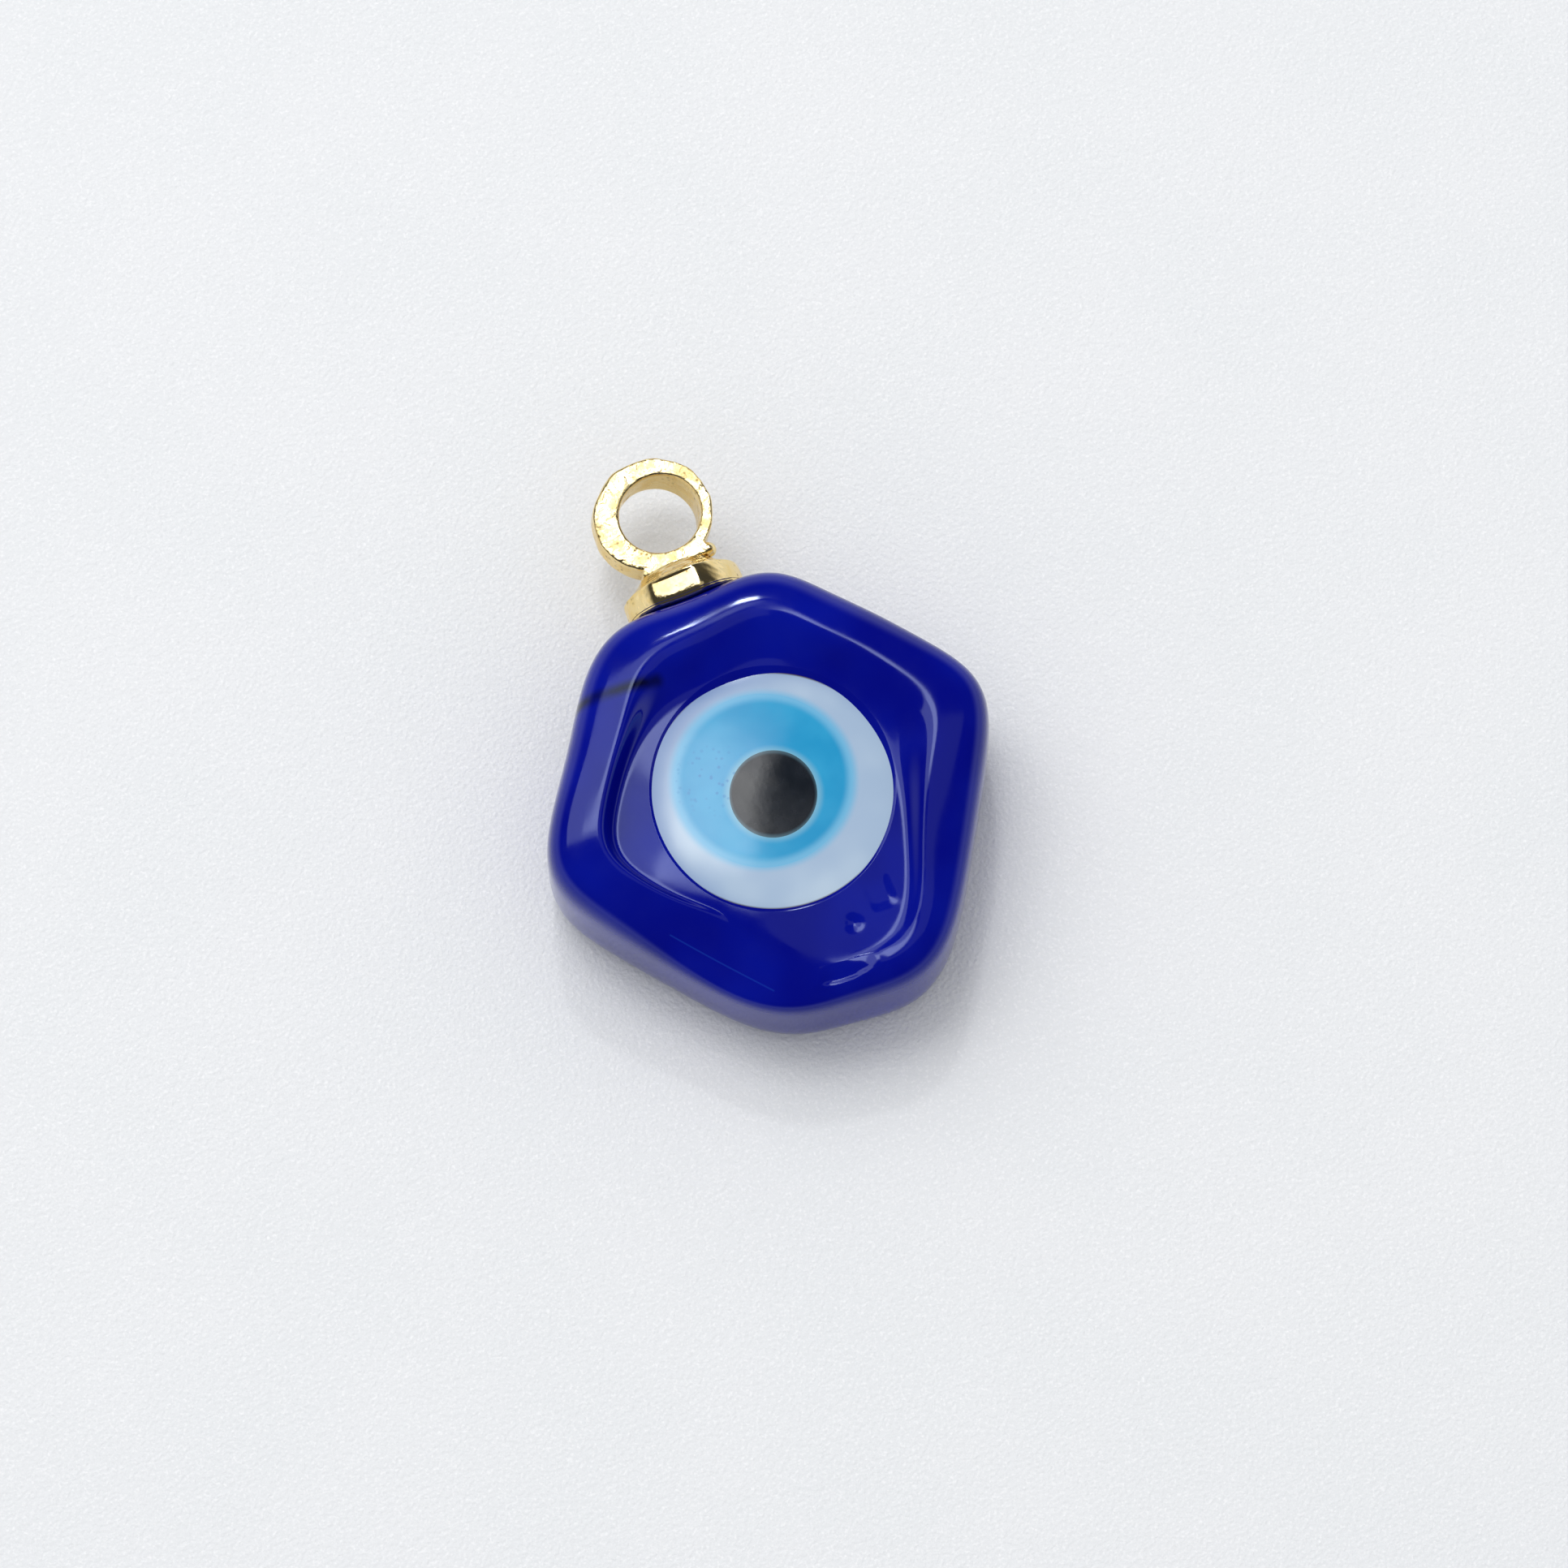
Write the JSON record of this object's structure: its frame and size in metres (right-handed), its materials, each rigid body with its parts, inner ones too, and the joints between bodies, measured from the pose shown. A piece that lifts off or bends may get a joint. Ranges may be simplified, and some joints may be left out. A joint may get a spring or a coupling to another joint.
{
  "type": "evil eye ornament",
  "caption": "Six-sided blue glass eye charm with layered white, light blue and black drops and a gold hanging loop.",
  "frame": {"origin": "middle of the flat glass back, below the eye", "axes": "+Z out of the eye through the slab's thickness, +Y towards the hanging loop, +X to the right with the eye facing the viewer and the loop up"},
  "size_m": [0.0115, 0.0152, 0.004],
  "materials": {
    "blue_glass": "fire-polished opaque cobalt blue glass",
    "white_glass": "satin milky bluish white glass",
    "light_blue_glass": "satin turquoise blue glass",
    "black_glass": "satin black glass",
    "gold_plate": "bright gold plating over cast brass",
    "braze_alloy": "plated over, slightly lumpy",
    "clear_epoxy": "cured two-part epoxy"
  },
  "bodies": {
    "root": {"glass_body": "blue_glass", "eye_white": "white_glass", "eye_iris": "light_blue_glass", "eye_pupil": "black_glass", "bail_loop": "gold_plate", "bail_cup": "gold_plate", "bail_peg": "gold_plate", "braze": "braze_alloy", "glue_bond": "clear_epoxy"}
  },
  "joints": []
}
